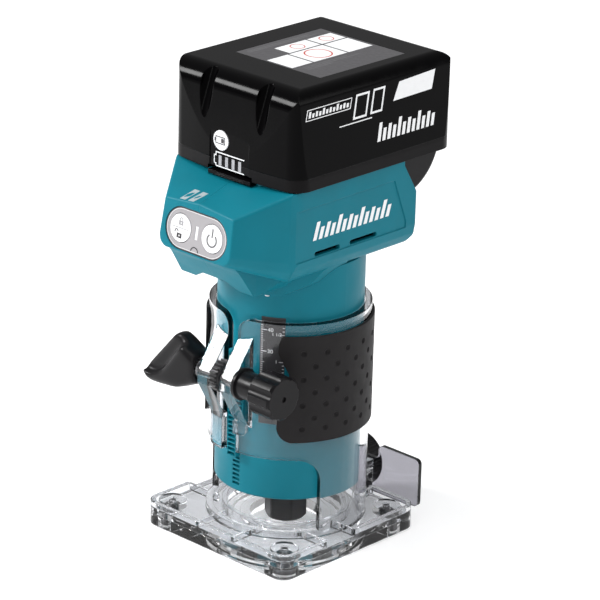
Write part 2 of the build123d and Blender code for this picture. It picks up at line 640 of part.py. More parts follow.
def controller_board():
    board = block(-27, 27, -26, 31, 146.0, 147.6)
    for x, y, r, h in ((-17, -14, 5.0, 12), (17, -14, 5.0, 12), (-17, 8, 4.0, 10)):
        board += rod_z(r, 147.6, 147.6 + h, x, y)
    board += block(4, 22, 0, 16, 147.6, 155.0)
    for angle in LEAD_ANGLES:
        a = radians(angle)
        board -= rod_z(1.3, 140, 160, LEAD_R * sin(a), LEAD_R * cos(a))
    return board


def contact_rail():
    """Rail on top of the head that the battery slides onto, with its two contact strips' seats."""
    y0, y1 = -18.0, 31.0
    rail = block(-RAIL_NECK, RAIL_NECK, y0, y1, HEAD_TOP, 176.9) + block(-RAIL_HEAD, RAIL_HEAD, y0, y1, 176.4, 178.0)
    rail -= both_sides(block(5.0, 8.0, y0 + 6, y1 - 6, 177.2, 180))
    return rail


def contact_strips():
    return both_sides(block(5.0, 8.0, -12.0, 25.0, 177.2, 178.2))


def rear_cap():
    """Black closing piece under the battery's rear overhang."""
    arc = ThreePointArc((54.6, HEAD_TOP), (49.6, 165.6), (39.9, 158.6))
    edge = Polyline((39.9, 158.6), (31.7, 172.0), (31.7, HEAD_TOP), (54.6, HEAD_TOP))
    body = along_x(make_face(arc + edge), -35.2, 35.2)
    return fillet(body.edges().filter_by(GeomType.CIRCLE), 2.0)


# ---- battery pieces ---------------------------------------------------------------------------------
def battery_plan(grow=0.0):
    """Battery seen from above: bowed front, rounded corners."""
    half, front, rear = BATT_HALF + grow, BATT_FRONT - grow, BATT_REAR + grow
    bow = ThreePointArc((-half, front), (0, front - BATT_BOW), (half, front))
    rest = Polyline((half, front), (half, rear), (-half, rear), (-half, front))
    face = make_face(bow + rest)
    return fillet(face.vertices(), 8.0)


def battery_side(inset=0.0):
    """Battery seen from the side, from the bottom edge to the rounded top."""
    i = inset
    top = BATT_TOP - i
    points = [(-50, 170), (70, 170), (70, 176), (61.5 - i, 177), (60.5 - i, top), (-37.2 + i, top),
              (-41.0 + i, 177), (-50, 177)]
    radii = [0.1, 0.1, 0.1, 0.1, 7.0 - i, 9.0 - i, 0.1, 0.1]
    return make_face(FilletPolyline(*points, radius=radii, close=True))


def battery_cross(inset=0.0):
    """Battery seen from the front: sides that lean in towards the top."""
    i = inset
    points = [(-38.0 + i, 170), (38.0 - i, 170), (38.0 - i, 179), (35.6 - i, BATT_TOP - i),
              (-35.6 + i, BATT_TOP - i), (-38.0 + i, 179)]
    radii = [0.1, 0.1, 1.2, 6.0 - 1.9 * i, 6.0 - 1.9 * i, 1.2]
    return make_face(FilletPolyline(*points, radius=radii, close=True))


def battery_form():
    form = along_z(battery_plan(), 160, 230)
    form = form & along_x(battery_side(), -60, 60)
    return form & along_y(battery_cross(), -80, 80)


def gauge_recess():
    """Cutter for the low front panel with the charge gauge, which is set back a little."""
    return along_y(outline([(-12.2, 160), (11.0, 160), (11.0, 191.6), (-12.2, 194.0)], 1.5), -60, -39.55)


def battery_upper_case():
    case = BATT_FORM & block(-60, 60, -80, 80, BATT_SEAM, 230)
    plan = Pos(0, (58.6 - 31.9) / 2) * RectangleRounded(2 * (BATT_HALF - BATT_WALL), 58.6 + 31.9, 5.0)
    cavity = along_z(plan, BATT_BOTTOM, 230) & along_x(battery_side(BATT_WALL), -60, 60)
    cavity = cavity & along_y(battery_cross(BATT_WALL), -80, 80)
    case -= cavity
    # two finger scoops that run out over the top edge
    for x in (-16.7, 16.7):
        scoop = Pos(x, -43.4, 196.5) * Rot(-19, 0, 0) * (Pos(0, 0, 12) * Cylinder(3.9, 36))
        case -= scoop
    case -= gauge_recess()
    case -= rod_y(CHECK_R + 0.3, -45, -36.5, CHECK_X, CHECK_Z)
    case -= rod_y(1.8, -45, -35.2, CHECK_X, CHECK_Z)
    for x in GAUGE_X:
        case -= block(x - 0.9, x + 0.9, -45, -38.6, GAUGE_Z[0], GAUGE_Z[1])
    # shallow seat of the label
    return case - block(-25, 25, -12, 41, BATT_TOP - 0.25, 230)


def battery_lower_case():
    case = BATT_FORM & block(-60, 60, -80, 80, BATT_BOTTOM, BATT_SEAM)
    case -= block(-RAIL_NECK - 0.4, RAIL_NECK + 0.4, -19.0, 80, BATT_BOTTOM - 1, 178.4)
    case -= block(-RAIL_HEAD - 0.4, RAIL_HEAD + 0.4, -19.0, 80, 176.0, 178.6)
    case -= block(-30, 30, -31.9, 58.6, 180.0, 190)
    case -= gauge_recess()
    case -= block(-LATCH_HALF - 0.6, LATCH_HALF + 0.6, -60, -31.0, BATT_BOTTOM - 1, 176.9)
    case -= block(-6.3, 6.3, -36.4, -33.2, BATT_BOTTOM - 1, BATT_SEAM - 0.6)
    for x in GAUGE_X:
        case -= block(x - 0.9, x + 0.9, -45, -38.6, GAUGE_Z[0], GAUGE_Z[1])
    return case


def battery_cells():
    cells = Part()
    for y in CELL_Y:
        for z in CELL_Z:
            cell = rod_x(CELL_R, -CELL_HALF_LEN, CELL_HALF_LEN, y, z)
            groove = rod_x(CELL_R + 1, 29.4, 30.4, y, z) - rod_x(CELL_R - 0.6, 29, 31, y, z)
            cells += cell - groove
    return cells


def charge_gauge():
    """Four light windows that show the charge."""
    bars = Part()
    for x in GAUGE_X:
        bars += block(x - 0.9, x + 0.9, -39.5, -38.6, GAUGE_Z[0], GAUGE_Z[1])
    return bars


def battery_label():
    return block(-25, 25, -12, 41, BATT_TOP - 0.25, BATT_TOP)


def check_button():
    y0 = -39.8
    return rod_y(CHECK_R, y0, y0 + 1.6, CHECK_X, CHECK_Z) + rod_y(1.4, y0, y0 + 3.6, CHECK_X, CHECK_Z)


def latch_button():
    """Release button under the battery's front, with a hook and a spring seat behind it."""
    lip = along_z(battery_plan(0.4), 173.3, 174.9) & block(-LATCH_HALF, LATCH_HALF, -60, -31.4, 160, 190)
    for i in range(3):
        z = 173.7 + 0.4 * i
        lip -= block(-9, 9, -60, -40.45, z - 0.08, z + 0.08)
    return lip + block(-5.9, 5.9, -36.0, -33.6, 174.0, 176.2)


def latch_spring():
    """Small coil spring between the release button and the case."""
    coil = Helix(pitch=0.85, height=2.6, radius=0.9, center=(0, -34.8, 176.55))
    start = coil @ 0
    profile = Plane(origin=start, z_dir=coil % 0) * Circle(0.22)
    return sweep(profile, path=coil)


HEAD_SHELL = head_shell()
BATT_FORM = battery_form()


def main():
    save("base_frame", base_frame())
    save("sub_base", sub_base())
    save("sub_base_screws", corner_screws())
    right = grip()
    save("grip_right", right)
    save("grip_left", mirrored(right))
    save("chip_guard", chip_guard())
    save("rear_knob", rear_knob())
    save("rear_stud", rear_stud())
    save("pinion_shaft", pinion_shaft())
    save("adjusting_knob", adjusting_knob())
    save("lock_lever", lock_lever())
    save("lever_nut", lever_nut())
    save("motor_housing", motor_housing())
    save("depth_rack", depth_rack())
    save("depth_scale", depth_scale())
    save("stator_core", stator_core())
    save("stator_windings", stator_windings())
    save("lower_bearing", bearing(31.0, 38.0, 11.0))
    save("upper_bearing", bearing(112.5, 118.0, 9.5))
    save("bearing_plate", bearing_plate())
    save("motor_leads", motor_leads())
    save("spindle_shaft", spindle_shaft())
    save("rotor_core", rotor_core())
    save("rotor_magnets", rotor_magnets())
    save("cooling_fan", cooling_fan())
    save("collet", collet())
    save("collet_nut", collet_nut())
    save("head_left", head_half(-1))
    save("head_right", head_half(1))
    save("head_screws", head_screws())
    save("switch_panel", switch_panel())
    save("lock_button", panel_button(-BUTTON_X))
    save("power_button", panel_button(BUTTON_X))
    save("mode_light", mode_light())
    save("job_lights", job_lights())
    save("switch_board", switch_board())
    save("controller_board", controller_board())
    save("contact_rail", contact_rail())
    save("contact_strips", contact_strips())
    save("rear_cap", rear_cap())
    save("battery_lower_case", battery_lower_case())
    save("battery_upper_case", battery_upper_case())
    save("battery_cells", battery_cells())
    save("battery_label", battery_label())
    save("charge_gauge", charge_gauge())
    save("check_button", check_button())
    save("latch_button", latch_button())
    save("latch_spring", latch_spring())


main()
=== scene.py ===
"""Looks of the cordless trim router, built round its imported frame.

The camera, floor and lights are set out in metres.  Everything on the router is in millimetres, and mm()
turns it into metres.  +Z goes up the spindle, -Y towards the switch panel and +X towards the depth knob.
"""
import json
import math

import bpy
from mathutils import Matrix, Vector
from mathutils.bvhtree import BVHTree


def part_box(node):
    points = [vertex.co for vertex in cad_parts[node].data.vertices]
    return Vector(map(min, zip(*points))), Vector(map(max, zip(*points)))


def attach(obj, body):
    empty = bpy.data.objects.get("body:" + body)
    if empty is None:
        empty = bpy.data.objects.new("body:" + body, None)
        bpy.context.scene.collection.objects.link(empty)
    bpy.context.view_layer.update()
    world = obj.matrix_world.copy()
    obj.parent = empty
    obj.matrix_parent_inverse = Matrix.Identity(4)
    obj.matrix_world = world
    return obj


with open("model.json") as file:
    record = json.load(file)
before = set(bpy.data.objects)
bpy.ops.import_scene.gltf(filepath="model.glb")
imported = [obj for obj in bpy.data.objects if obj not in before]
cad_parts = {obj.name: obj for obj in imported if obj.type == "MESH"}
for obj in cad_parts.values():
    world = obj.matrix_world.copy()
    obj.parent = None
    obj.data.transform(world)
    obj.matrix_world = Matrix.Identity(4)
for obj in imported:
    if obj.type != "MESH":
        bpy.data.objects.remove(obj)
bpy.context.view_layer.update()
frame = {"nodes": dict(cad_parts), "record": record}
NODES = frame["nodes"]
SCENE = bpy.context.scene


def mm(*values):
    """Millimetres to metres, as one number or a vector."""
    return values[0] / 1000 if len(values) == 1 else Vector(values) / 1000


# ---- camera, floor and light --------------------------------------------------------------------
AZIMUTH, ELEVATION, ROLL = 43.25, 21.14, 1.56
LENS, SENSOR = 200.2, 36.0
DISTANCE = 1.470
LOOK_AT = (0.0040, 0.1077)          # sideways and up from the spindle's foot
CLIP = (0.05, 50)
FLOOR_HALF = 12.0
FLOOR_DROP = 0.0002                 # keeps the floor clear of the sub-base
LIGHT_AIM = 0.11                    # height that the lights face
SKY_LOW, SKY_HIGH = (0.58, 0.58, 0.59, 1), (1, 1, 1, 1)
SKY_TURN = 0.75                     # where on the ramp the sky reaches its upper colour
SKY_STRENGTH = 0.5


def spherical(azimuth, elevation):
    """Unit vector from the object: azimuth 0 is towards -Y and 90 towards +X."""
    a, e = math.radians(azimuth), math.radians(elevation)
    return Vector((math.sin(a) * math.cos(e), -math.cos(a) * math.cos(e), math.sin(e)))


def make_camera():
    """Long lens from the photograph's angle, rolled a little."""
    a, roll = math.radians(AZIMUTH), math.radians(ROLL)
    back = spherical(AZIMUTH, ELEVATION)
    right = Vector((math.cos(a), math.sin(a), 0))
    up = back.cross(right)
    x_axis = right * math.cos(roll) + up * math.sin(roll)
    y_axis = up * math.cos(roll) - right * math.sin(roll)
    data = bpy.data.cameras.new("camera")
    data.lens, data.sensor_width = LENS, SENSOR
    data.clip_start, data.clip_end = CLIP
    camera = bpy.data.objects.new("camera", data)
    SCENE.collection.objects.link(camera)
    place = Matrix((x_axis, y_axis, back)).transposed().to_4x4()
    place.translation = right * LOOK_AT[0] + Vector((0, 0, LOOK_AT[1])) + back * DISTANCE
    camera.matrix_world = place
    SCENE.camera = camera


def make_floor():
    """Plain white paper."""
    mesh = bpy.data.meshes.new("floor")
    corners = [(-FLOOR_HALF, -FLOOR_HALF, 0), (FLOOR_HALF, -FLOOR_HALF, 0),
               (FLOOR_HALF, FLOOR_HALF, 0), (-FLOOR_HALF, FLOOR_HALF, 0)]
    mesh.from_pydata(corners, [], [(0, 1, 2, 3)])
    floor = bpy.data.objects.new("floor", mesh)
    SCENE.collection.objects.link(floor)
    floor.location.z = -FLOOR_DROP
    paper = bpy.data.materials.new("floor_paper")
    paper.use_nodes = True
    shader = paper.node_tree.nodes["Principled BSDF"]
    shader.inputs["Base Color"].default_value = (0.93, 0.93, 0.935, 1)
    shader.inputs["Roughness"].default_value = 0.9
    shader.inputs["Specular IOR Level"].default_value = 0.1
    shader.inputs["Emission Color"].default_value = (1, 1, 1, 1)
    shader.inputs["Emission Strength"].default_value = 0.3
    mesh.materials.append(paper)


def soft_box(name, azimuth, elevation, distance, width, height, power):
    """Rectangular studio light that faces the middle of the object."""
    data = bpy.data.lights.new(name, "AREA")
    data.shape, data.size, data.size_y = "RECTANGLE", width, height
    data.energy = power
    lamp = bpy.data.objects.new(name, data)
    SCENE.collection.objects.link(lamp)
    away = spherical(azimuth, elevation)
    lamp.location = Vector((0, 0, LIGHT_AIM)) + away * distance
    lamp.rotation_euler = away.to_track_quat("Z", "Y").to_euler()


def make_light():
    """Three soft boxes, a narrow strip for the gloss, and a pale sky that darkens downwards."""
    soft_box("key", -47.7, 30.2, 1.3, 0.31, 0.31, 13)
    soft_box("top", 30, 78, 1.5, 1.4, 1.0, 10)
    soft_box("rim", 128, 28, 1.5, 0.35, 1.3, 4)
    soft_box("strip", 12, 24, 1.5, 0.10, 1.0, 2.2)
    world = bpy.data.worlds.new("studio")
    world.use_nodes = True
    SCENE.world = world
    nodes, links = world.node_tree.nodes, world.node_tree.links
    coords = nodes.new("ShaderNodeTexCoord")
    split = nodes.new("ShaderNodeSeparateXYZ")
    ramp = nodes.new("ShaderNodeValToRGB")
    links.new(coords.outputs["Generated"], split.inputs[0])
    links.new(split.outputs["Z"], ramp.inputs["Fac"])
    links.new(ramp.outputs["Color"], nodes["Background"].inputs["Color"])
    stops = ramp.color_ramp.elements
    stops[0].position, stops[0].color = 0.0, SKY_LOW
    stops[1].position, stops[1].color = SKY_TURN, SKY_HIGH
    nodes["Background"].inputs["Strength"].default_value = SKY_STRENGTH
    SCENE.view_settings.view_transform = "Standard"


# ---- materials ------------------------------------------------------------------------------------
NOISE_MIDDLE = (0.3, 0.7)           # where most of a noise texture's values lie
BEVEL_SAMPLES = 6
CLEAR_IOR = 1.54
CLEAR_GLINT = (0.5, 0.5, 0.5, 1)    # holds the clear plastic's reflections down
OWN_FINISH = {"charge_gauge": "gauge_window", "sub_base": "clear_plate", "chip_guard": "clear_guard"}
LEVER_VOXEL, LEVER_PASSES = 0.45, 160


class Finish:
    """A node material on one Principled shader, with helpers that add texture to it."""

    def __init__(self, name, colour, roughness, metallic=0.0, ior=1.5):
        self.name = name
        self.material = bpy.data.materials.new(name)
        self.material.use_nodes = True
        self.nodes, self.links = self.material.node_tree.nodes, self.material.node_tree.links
        self.shader = self.nodes["Principled BSDF"]
        self.colour, self.roughness = colour, roughness
        self.shader.inputs["Base Color"].default_value = (*colour, 1)
        self.shader.inputs["Roughness"].default_value = roughness
        self.shader.inputs["Metallic"].default_value = metallic
        self.shader.inputs["IOR"].default_value = ior
        self.coords = self.nodes.new("ShaderNodeTexCoord")
        self.normal = None

    def noise(self, scale, detail=3.0, stretch=(1, 1, 1)):
        """Noise in the object's own coordinates; scale is features per metre."""
        texture = self.nodes.new("ShaderNodeTexNoise")
        texture.inputs["Scale"].default_value = scale
        texture.inputs["Detail"].default_value = detail
        mapping = self.nodes.new("ShaderNodeMapping")
        mapping.inputs["Scale"].default_value = stretch
        self.links.new(self.coords.outputs["Object"], mapping.inputs["Vector"])
        self.links.new(mapping.outputs["Vector"], texture.inputs["Vector"])
        return texture.outputs["Fac"]

    def spread(self, value, low, high):
        """Maps a noise value's middle range on to low..high."""
        node = self.nodes.new("ShaderNodeMapRange")
        node.inputs["From Min"].default_value, node.inputs["From Max"].default_value = NOISE_MIDDLE
        node.inputs["To Min"].default_value, node.inputs["To Max"].default_value = low, high
        self.links.new(value, node.inputs["Value"])
        return node.outputs["Result"]

    def mottle(self, scale, amount):
        """Slight light and dark variation of the base colour."""
        mix = self.nodes.new("ShaderNodeMix")
        mix.data_type = "RGBA"
        mix.inputs["A"].default_value = (*[c * (1 - amount) for c in self.colour], 1)
        mix.inputs["B"].default_value = (*[min(1, c * (1 + amount)) for c in self.colour], 1)
        self.links.new(self.spread(self.noise(scale), 0, 1), mix.inputs["Factor"])
        self.links.new(mix.outputs["Result"], self.shader.inputs["Base Color"])
        return self

    def uneven(self, scale, amount, stretch=(1, 1, 1)):
        """Uneven gloss."""
        low, high = max(0.0, self.roughness - amount), self.roughness + amount
        rough = self.spread(self.noise(scale, 4.0, stretch), low, high)
        self.links.new(rough, self.shader.inputs["Roughness"])
        return self

    def round_edges(self, radius):
        """Edges catch the light as a moulded or broken edge does."""
        node = self.nodes.new("ShaderNodeBevel")
        node.samples = BEVEL_SAMPLES
        node.inputs["Radius"].default_value = mm(radius)
        self.normal = node.outputs["Normal"]
        self.links.new(self.normal, self.shader.inputs["Normal"])
        return self

    def grain(self, scale, depth, stretch=(1, 1, 1), strength=0.6):
        """Fine surface grain; depth is in millimetres."""
        node = self.nodes.new("ShaderNodeBump")
        node.inputs["Strength"].default_value = strength
        node.inputs["Distance"].default_value = mm(depth)
        self.links.new(self.noise(scale, 2.0, stretch), node.inputs["Height"])
        if self.normal is not None:
            self.links.new(self.normal, node.inputs["Normal"])
        self.normal = node.outputs["Normal"]
        self.links.new(self.normal, self.shader.inputs["Normal"])
        return self

    def set(self, **values):
        """Sets the shader's own inputs."""
        for key, value in values.items():
            self.shader.inputs[key.replace("_", " ")].default_value = value
        return self


def moulded(name, colour, roughness, edge=0.35, grain=0.02, scale=2600):
    """Moulded plastic: fine spark-eroded grain, slightly uneven gloss, soft edges."""
    finish = Finish(name, colour, roughness).mottle(60, 0.04).uneven(140, 0.05)
    return finish.round_edges(edge).grain(scale, grain)


def machined(name, colour, roughness, stretch=(1, 1, 12)):
    """Machined metal with fine turning marks."""
    finish = Finish(name, colour, roughness, metallic=1.0).mottle(90, 0.05).uneven(300, 0.08, stretch)
    return finish.round_edges(0.2).grain(2200, 0.01, stretch)


def clear(name, tint, roughness=0.02):
    """Clear polycarbonate: a tint and slight moulding waves."""
    finish = Finish(name, tint, roughness, ior=CLEAR_IOR)
    finish.set(Transmission_Weight=1.0, Specular_Tint=CLEAR_GLINT)
    return finish.uneven(80, 0.015).round_edges(0.45).grain(55, 0.05, strength=0.35)


def printed(name, colour, roughness=0.45):
    """Print ink: flat with a trace of unevenness."""
    return Finish(name, colour, roughness).mottle(300, 0.02).uneven(500, 0.06)


def make_materials():
    """Every finish by name: those of the frame's slots, of OWN_FINISH and of the prints."""
    made = [
        clear("clear_plastic", (0.905, 0.915, 0.935)),
        clear("clear_plate", (0.955, 0.96, 0.97)),
        clear("clear_guard", (0.35, 0.345, 0.38)),
        moulded("blue_green_plastic", (0.0025, 0.166, 0.222), 0.42, edge=0.6).set(Specular_IOR_Level=0.14),
        moulded("black_plastic", (0.006, 0.0055, 0.0063), 0.33).set(Specular_IOR_Level=0.15),
        moulded("battery_gloss", (0.0008, 0.0007, 0.0009), 0.14, edge=0.6, grain=0.003).set(
            Specular_IOR_Level=0.052),
        moulded("battery_shell", (0.0035, 0.003, 0.0035), 0.34).set(Specular_IOR_Level=0.09),
        moulded("rubber_grip", (0.013, 0.0118, 0.0124), 0.6, grain=0.05, scale=1800).set(
            Specular_IOR_Level=0.16, Sheen_Weight=0.03, Sheen_Roughness=0.5),
        machined("steel", (0.60, 0.60, 0.62), 0.28),
        machined("dark_steel", (0.10, 0.10, 0.105), 0.38),
        moulded("black_steel", (0.018, 0.0175, 0.0185), 0.42, grain=0.012),
        machined("core_steel", (0.42, 0.42, 0.44), 0.45, (1, 1, 40)),
        machined("copper", (0.70, 0.33, 0.16), 0.30, (1, 1, 25)),
        machined("magnet", (0.35, 0.35, 0.37), 0.35),
        machined("brass_contact", (0.80, 0.60, 0.28), 0.25),
        moulded("lead_rubber", (0.25, 0.02, 0.02), 0.5),
        moulded("board_green", (0.02, 0.16, 0.06), 0.4),
        moulded("cell_wrap", (0.08, 0.22, 0.50), 0.3),
        moulded("panel_grey", (0.330, 0.318, 0.330), 0.48, edge=0.3),
        moulded("button_white", (0.86, 0.86, 0.88), 0.42, edge=0.3),
        moulded("light_white", (0.74, 0.74, 0.77), 0.3, edge=0.2),
        printed("scale_print", (0.022, 0.021, 0.023)),
        printed("label_print", (0.072, 0.070, 0.075), 0.38),
        printed("ink_white", (0.88, 0.89, 0.90)),
        printed("gauge_window", (0.38, 0.38, 0.40), 0.25),
        printed("ink_grey", (0.14, 0.14, 0.145)),
        printed("ink_pale", (0.33, 0.33, 0.34)),
        # lighter grey painted as the highlight on the switch panel's bevel
        printed("bevel_painted_highlight", (0.62, 0.61, 0.62), 0.3),
        printed("ink_silver", (0.36, 0.42, 0.44)),
        printed("ink_dark", (0.035, 0.033, 0.036)),
        printed("ink_red", (0.55, 0.07, 0.05)),
    ]
    return {finish.name: finish.material for finish in made}


def dress_nodes(materials):
    """Each CAD node takes its slot's finish or its own.  Clear pieces except the sub-base cast no shadow."""
    for part in frame["record"]["subparts"]:
        mesh = NODES[part["node"]].data
        mesh.materials.clear()
        mesh.materials.append(materials[part["material_slot"]])
        NODES[part["node"]].visible_shadow = part["material_slot"] != "clear_plastic"
    for node, finish in OWN_FINISH.items():
        NODES[node].data.materials[0] = materials[finish]
    NODES["sub_base"].visible_shadow = True


def soften_lever():
    """The lever's wing is moulded with no sharp edge."""
    lever = NODES["lock_lever"]
    remesh = lever.modifiers.new("even_mesh", "REMESH")
    remesh.mode, remesh.voxel_size = "VOXEL", mm(LEVER_VOXEL)
    remesh.use_smooth_shade = True
    smooth = lever.modifiers.new("soft_edges", "SMOOTH")
    smooth.factor, smooth.iterations = 0.5, LEVER_PASSES


# ---- prints and small trim -------------------------------------------------------------------------
INK_HALF, INK_LIFT = 0.03, 0.02     # half a print's thickness, and the film of air under it
LABEL_HALF = 0.004                  # thinner, because the battery's label is the top of the frame's box
RING_LIFT = 0.010                   # how much higher the label's rings lie than its boxes


def put(name, mesh, material, body):
    """Adds a piece that rides on one of the frame's bodies."""
    piece = bpy.data.objects.new(name, mesh)
    SCENE.collection.objects.link(piece)
    mesh.materials.clear()
    mesh.materials.append(material)
    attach(piece, body)
    return piece


def filled(loops, half=INK_HALF):
    """Flat plate with these outlines; an outline inside another is a hole."""
    curve = bpy.data.curves.new("outline", "CURVE")
    curve.dimensions, curve.fill_mode, curve.extrude = "2D", "BOTH", half
    for points in loops:
        spline = curve.splines.new("POLY")
        spline.points.add(len(points) - 1)
        for place, (x, y) in zip(spline.points, points):
            place.co = (x, y, 0, 1)
        spline.use_cyclic_u = True
    return curve


def lettering(words, size):
    """Centred words, as thick as a print."""
    curve = bpy.data.curves.new("lettering", "FONT")
    curve.body, curve.size, curve.extrude = words, size, INK_HALF
    curve.align_x, curve.align_y = "CENTER", "CENTER"
    return curve


def as_mesh(curve):
    """Turns a curve into a mesh and removes the curve."""
    holder = bpy.data.objects.new("holder", curve)
    SCENE.collection.objects.link(holder)
    bpy.context.view_layer.update()
    graph = bpy.context.evaluated_depsgraph_get()
    mesh = bpy.data.meshes.new_from_object(holder.evaluated_get(graph), depsgraph=graph)
    bpy.data.objects.remove(holder)
    bpy.data.curves.remove(curve)
    return mesh


def laid(name, curves, place, material, body, lift=INK_LIFT, half=INK_HALF):
    """One thin piece: each (curve, x, y) is moved to x, y, then on to a surface by place(x, y, height)."""
    joined = bpy.data.meshes.new(name)
    points, faces = [], []
    for curve, x, y in curves:
        mesh = as_mesh(curve)
        first = len(points)
        points += [place(v.co.x + x, v.co.y + y, v.co.z + half + lift) for v in mesh.vertices]
        faces += [[first + i for i in polygon.vertices] for polygon in mesh.polygons]
        bpy.data.meshes.remove(mesh)
    joined.from_pydata([mm(*p) for p in points], [], faces)
    joined.update()
    return put(name, joined, material, body)


def decal(name, shapes, place, material, body, lift=INK_LIFT, half=INK_HALF):
    """Thin print of flat shapes, each given as a list of its outline and any holes."""
    curves = [(filled(loops, half), 0, 0) for loops in shapes]
    return laid(name, curves, place, material, body, lift, half)


# ---- outlines ---------------------------------------------------------------------------------------
def rectangle(x0, x1, y0, y1):
    """Corners from the lower left one anticlockwise."""
    return [(x0, y0), (x1, y0), (x1, y1), (x0, y1)]


def slanted(x0, x1, y0, y1, lean):
    """Block whose two ends lean."""
    return [(x0, y0), (x1, y0), (x1 + lean, y1), (x0 + lean, y1)]


def arc(x, y, radius, start, end, steps=24):
    """Points round x, y, with the angles in degrees."""
    angles = [math.radians(start + (end - start) * i / steps) for i in range(steps + 1)]
    return [(x + radius * math.cos(a), y + radius * math.sin(a)) for a in angles]


def ring(x, y, outer, inner, steps=40):
    """Outline and hole of a whole ring."""
    return [arc(x, y, outer, 0, 360, steps)[:-1], arc(x, y, inner, 0, 360, steps)[:-1]]


def band(x, y, outer, inner, start, end):
    """Part of a ring."""
    return arc(x, y, outer, start, end) + arc(x, y, inner, end, start)


def stadium(width, height, steps=16):
    """Outline with half-round ends, centred."""
    r = height / 2
    reach = width / 2 - r
    return arc(reach, 0, r, -90, 90, steps) + arc(-reach, 0, r, 90, 270, steps)


def rounded(x0, x1, y0, y1, radii, steps=6):
    """Rectangle with a radius for each corner, from the lower left one anticlockwise."""
    points = []
    for (x, y, start), r in zip(((x0, y0, 180), (x1, y0, 270), (x1, y1, 0), (x0, y1, 90)), radii):
        cx, cy = x + (r if x == x0 else -r), y + (r if y == y0 else -r)
        points += arc(cx, cy, r, start, start + 90, steps)
    return points


def outlined(points, line):
    """A closed outline and the same outline drawn in by about the line's width, for a hollow shape."""
    cx, cy = (sum(p[i] for p in points) / len(points) for i in (0, 1))
    width, height = (max(p[i] for p in points) - min(p[i] for p in points) for i in (0, 1))
    kx, ky = 1 - 2.6 * line / width, 1 - 2 * line / height
    return [points, [(cx + (x - cx) * kx, cy + (y - cy) * ky) for x, y in points]]


def strokes(x0, x1, y0, y1, pitch, lean):
    """Row of slanted bars in a tall, short, middle, short rhythm."""
    bars, step, bar_width = [], 0, 0.6 * pitch
    while x0 + (step + 0.6) * pitch <= x1:
        left, top = x0 + step * pitch, y1 - (0, 0.34, 0.18, 0.34)[step % 4] * (y1 - y0)
        bars.append(slanted(left, left + bar_width, y0, top, lean * (top - y0) / (y1 - y0)))
        step += 1
    return bars


# ---- surfaces that prints are carried on to -----------------------------------------------------------
def on_drum(radius, angle, height):
    """Carries x round the spindle axis from this angle, and y upwards."""
    def place(x, y, lift):
        a = math.radians(angle) + x / radius
        return Vector(((radius + lift) * math.sin(a), -(radius + lift) * math.cos(a), height + y))
    return place


def onto(node, inward, across, up):
    """Carries x and y, measured from the frame's origin, along inward on to a CAD node."""
    mesh = NODES[node].data
    tree = BVHTree.FromPolygons([v.co * 1000 for v in mesh.vertices], [p.vertices for p in mesh.polygons])
    inward, across, up = Vector(inward).normalized(), Vector(across), Vector(up)
    outside = 300                   # farther out than any node

    def place(x, y, lift):
        hit = tree.ray_cast(across * x + up * y - inward * outside, inward)[0]
        return hit - inward * lift
    return place


def onto_front(node):
    """x is across and y is height."""
    return onto(node, (0, 1, 0), (1, 0, 0), (0, 0, 1))


def onto_side(node, side):
    """Right side when side is 1, left when it is -1; x runs backwards and y is height."""
    return onto(node, (-side, 0, 0), (0, 1, 0), (0, 0, 1))


def onto_top(node):
    """x is across and y runs backwards."""
    return onto(node, (0, 0, -1), (1, 0, 0), (0, 1, 0))


# ---- base and depth scale -----------------------------------------------------------------------------
TAB_R, TAB_T = 36.0, 2.6            # inside radius and thickness of the clear tabs
TOE_R, CORNER_R = 2.2, 0.5
SCALE_R = 32.5
SCALE_START, SCALE_SWEEP = 21.0, 19     # degrees round the spindle, from the front
SCALE_ZERO = 66.0                   # height of the lowest line of both scales
SCALE_MARGIN = 0.3
INCH = 25.4
MM_LINES = ((10, 2.6, 0.17), (5, 1.7, 0.11), (1, 1.0, 0.11))            # step, length, half thickness
SIXTEENTH_LINES = ((8, 2.1, 0.12), (4, 1.4, 0.12), (1, 0.8, 0.12))
DIGIT_SIZE, FRACTION_SIZE = 2.5, 2.1
DIGIT_X, FRACTION_X = 4.5, 3.6      # middles of the numbers, in from the scale's edges


def clear_tabs(materials):
    """Clear tabs that run down the tube from the clamp ears, one each side of the slot."""
    place = on_drum(TAB_R, 0, 0)
    for name, x0, x1, low, high, radii in (
            ("left", -11.6, -3.1, 46.4, 63.5, (TOE_R, CORNER_R, CORNER_R, CORNER_R)),
            ("right", 3.1, 9.4, 56.0, 62.5, (CORNER_R, TOE_R, CORNER_R, CORNER_R))):
        outline = rounded(x0, x1, low, high, radii)
        tab = decal(f"ear_tab_{name}", [[outline]], place, materials["clear_plastic"], "base",
                    half=TAB_T / 2)
        tab.visible_shadow = False


def scale_line(value, lines):
    """Length and half thickness of a scale's line, by the largest step that divides its value."""
    return next((length, thick) for step, length, thick in lines if value % step == 0)


